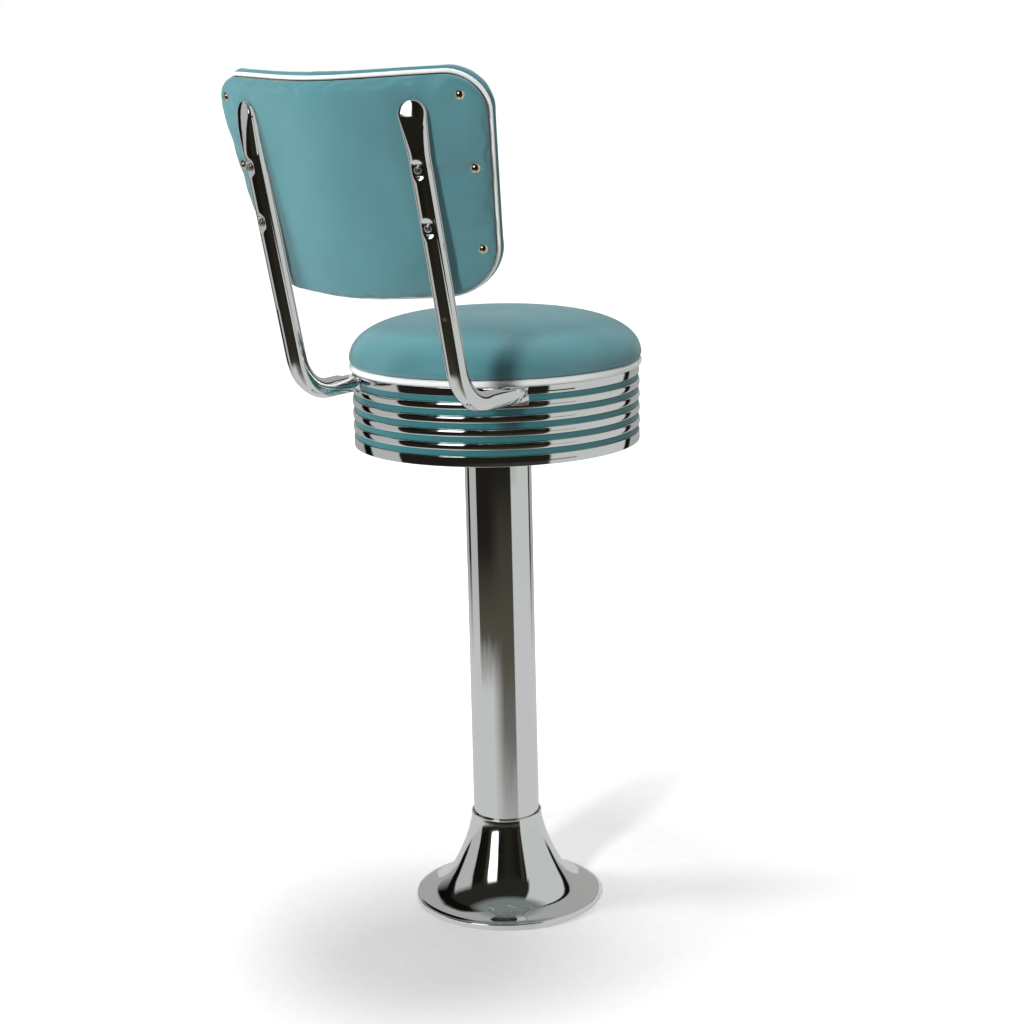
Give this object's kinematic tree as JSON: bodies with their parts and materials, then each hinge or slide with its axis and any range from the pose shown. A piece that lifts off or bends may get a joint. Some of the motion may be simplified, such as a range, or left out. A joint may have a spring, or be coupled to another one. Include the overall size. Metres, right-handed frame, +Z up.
{
  "type": "counter stool",
  "caption": "Bolt-down chrome pedestal counter stool with a round ribbed swivel seat and an upholstered V-curved back on two bent tubes.",
  "frame": {"origin": "on the floor, at the centre of the base and on the column's axis", "axes": "+Z up along the column; the sitter faces -Y; the back is on the +Y side; +X to the right of someone looking along +Y"},
  "size_m": [0.387, 0.5573, 1.1303],
  "materials": {
    "base_steel": "satin black powder coat, hidden",
    "column_chrome": "bright mirror chrome on steel tube",
    "bell_chrome": "bright mirror chrome on spun steel",
    "ring_chrome": "bright mirror chrome, rolled ribs",
    "tube_chrome": "bright mirror chrome on bent steel tube",
    "turned_steel": "turned bare steel",
    "bronze": "sintered bronze",
    "zinc": "bright zinc plated",
    "plywood": "bare birch plywood, hidden",
    "foam": "open cell upholstery foam, hidden",
    "seat_vinyl": "fine-grained teal vinyl, satin",
    "back_vinyl": "fine-grained teal vinyl, satin",
    "inlay_vinyl": "teal vinyl strip, satin",
    "piping_vinyl": "off-white vinyl piping, satin",
    "nail_metal": "polished nickel upholstery nail"
  },
  "bodies": {
    "pedestal": {"floor_flange": "base_steel", "column_tube": "column_chrome", "swivel_head": "turned_steel", "upper_bush": "bronze", "lower_bush": "bronze", "lower_race": "turned_steel"},
    "bell": {"bell_cover": "bell_chrome"},
    "bearing_cage": {"ball_cage": "bronze"},
    "seat": {"upper_race": "turned_steel", "swivel_spindle": "turned_steel", "spindle_washer": "zinc", "spindle_nut": "zinc", "swivel_plate": "base_steel", "plate_screw_1": "zinc", "plate_screw_2": "zinc", "plate_screw_3": "zinc", "plate_screw_4": "zinc", "seat_board": "plywood", "seat_hoop": "plywood", "ribbed_ring": "ring_chrome", "groove_inlay_1_front": "inlay_vinyl", "groove_inlay_1_rear": "inlay_vinyl", "groove_inlay_2": "inlay_vinyl", "groove_inlay_3": "inlay_vinyl", "groove_inlay_4": "inlay_vinyl", "groove_inlay_5": "inlay_vinyl", "seat_foam": "foam", "seat_cover": "seat_vinyl", "seat_piping": "piping_vinyl", "back_tube_left": "tube_chrome", "back_tube_right": "tube_chrome", "frame_bolt_left_1": "zinc", "frame_bolt_left_2": "zinc", "frame_bolt_right_1": "zinc", "frame_bolt_right_2": "zinc", "back_screw_left_1": "zinc", "back_screw_left_2": "zinc", "back_screw_right_1": "zinc", "back_screw_right_2": "zinc", "back_board": "plywood", "back_front_pad": "back_vinyl", "back_rear_cover": "back_vinyl", "back_piping": "piping_vinyl", "back_nail_left_1": "nail_metal", "back_nail_left_2": "nail_metal", "back_nail_left_3": "nail_metal", "back_nail_right_1": "nail_metal", "back_nail_right_2": "nail_metal", "back_nail_right_3": "nail_metal"}
  },
  "joints": [
    {"name": "seat_swivel", "type": "hinge", "parent": "pedestal", "child": "seat", "pos_m": [0, 0, 0.72], "axis": [0, 0, 1], "continuous": true},
    {"name": "cage_turn", "type": "hinge", "parent": "pedestal", "child": "bearing_cage", "pos_m": [0, 0, 0.72], "axis": [0, 0, 1], "continuous": true},
    {"name": "bell_lift", "type": "slide", "parent": "pedestal", "child": "bell", "axis": [0, 0, 1], "range_m": [0, 0.3]}
  ],
  "couplings": [
    {"joint": "cage_turn", "follows": "seat_swivel", "ratio": 0.5}
  ]
}
